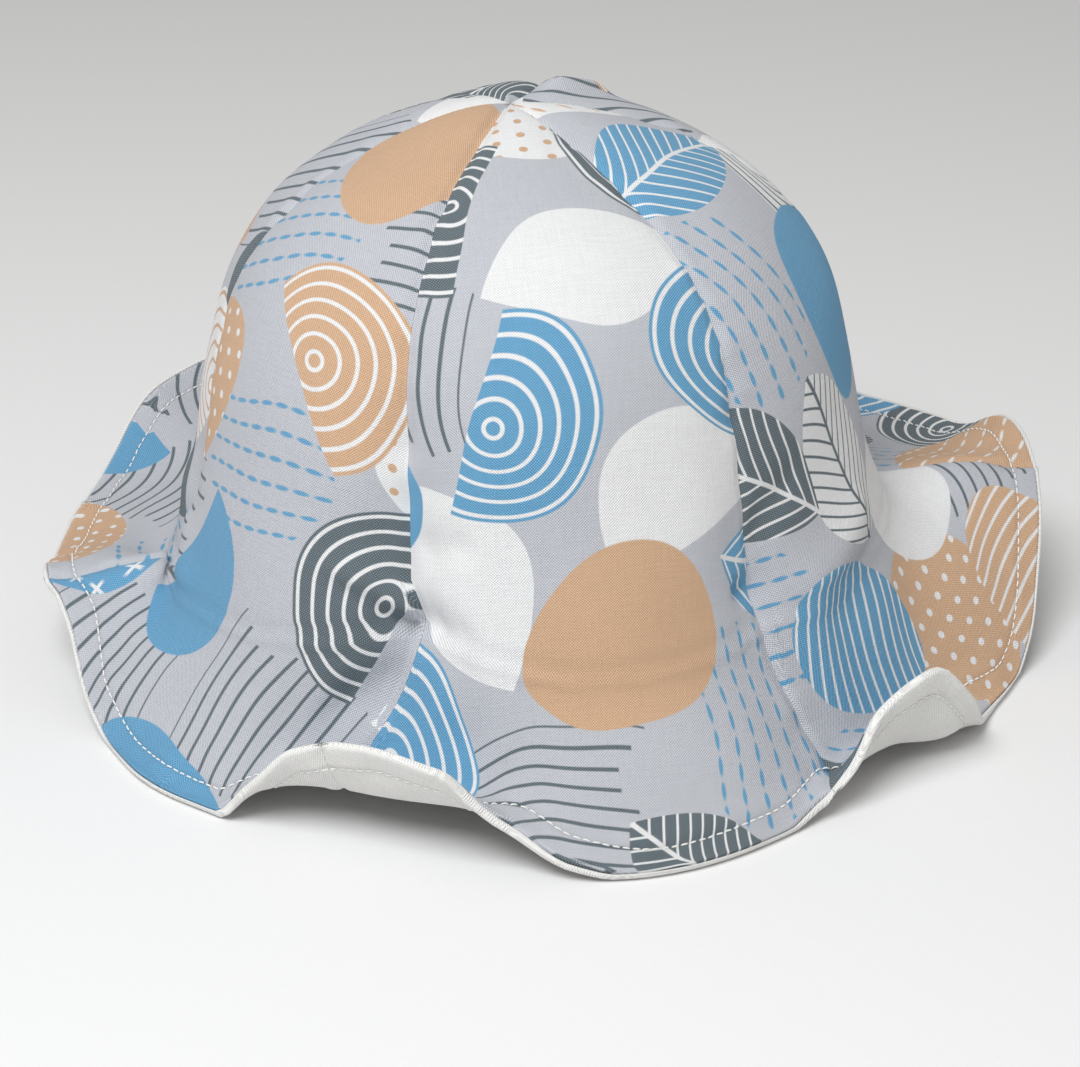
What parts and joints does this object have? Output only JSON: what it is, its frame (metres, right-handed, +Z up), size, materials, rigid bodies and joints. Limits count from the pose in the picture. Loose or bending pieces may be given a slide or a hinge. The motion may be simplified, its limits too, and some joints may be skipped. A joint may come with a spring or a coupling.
{
  "type": "tulip sun hat",
  "caption": "Child's lined cotton sun hat: a rounded crown of gores that run down into a wavy petal brim, resting on its brim.",
  "frame": {"origin": "on the floor, under the middle of the hat's box", "axes": "+Z up through the crown, -Y the front that faces the camera, +X to the right in the picture"},
  "size_m": [0.2252, 0.2062, 0.1288],
  "materials": {
    "printed_cotton": "plain-woven cotton, lavender grey with printed shapes in white, blue, tan and slate",
    "white_cotton": "plain-woven white cotton"
  },
  "bodies": {
    "root": {"print_gore_left_back": "printed_cotton", "print_gore_left_front": "printed_cotton", "print_gore_front": "printed_cotton", "print_gore_right_front": "printed_cotton", "print_gore_right_back": "printed_cotton", "print_gore_back": "printed_cotton", "lining_gore_left_back": "white_cotton", "lining_gore_left_front": "white_cotton", "lining_gore_front": "white_cotton", "lining_gore_right_front": "white_cotton", "lining_gore_right_back": "white_cotton", "lining_gore_back": "white_cotton"}
  },
  "joints": []
}
